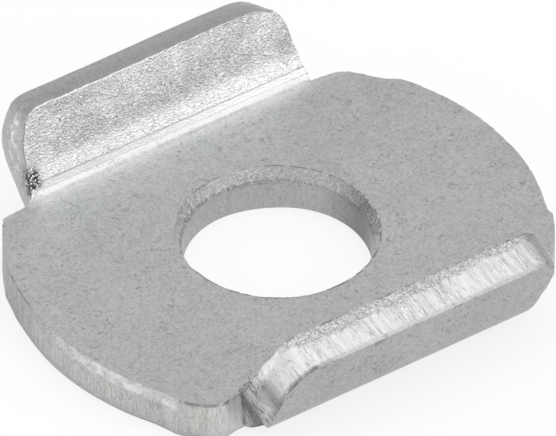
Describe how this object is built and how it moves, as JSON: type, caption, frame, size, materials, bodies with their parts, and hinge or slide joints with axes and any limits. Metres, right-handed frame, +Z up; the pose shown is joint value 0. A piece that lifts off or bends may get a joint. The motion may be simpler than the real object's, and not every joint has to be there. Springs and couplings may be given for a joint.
{
  "type": "clamping washer",
  "caption": "Thick stamped washer with a central bore and two straight sides, a tall lip bent up along one and a low lip along the other, clamping a part under a screw head.",
  "frame": {"origin": "the bore's axis at the flat underside", "axes": "+Z up along the bore's axis towards the lips' tips, +X along both bend lines, +Y towards the tall lip"},
  "size_m": [0.0298, 0.027, 0.0071],
  "materials": {
    "zinc_plate": "bright zinc plating on sheared and pressed steel sheet, satin"
  },
  "bodies": {
    "root": {"clamping_washer": "zinc_plate"}
  },
  "joints": []
}
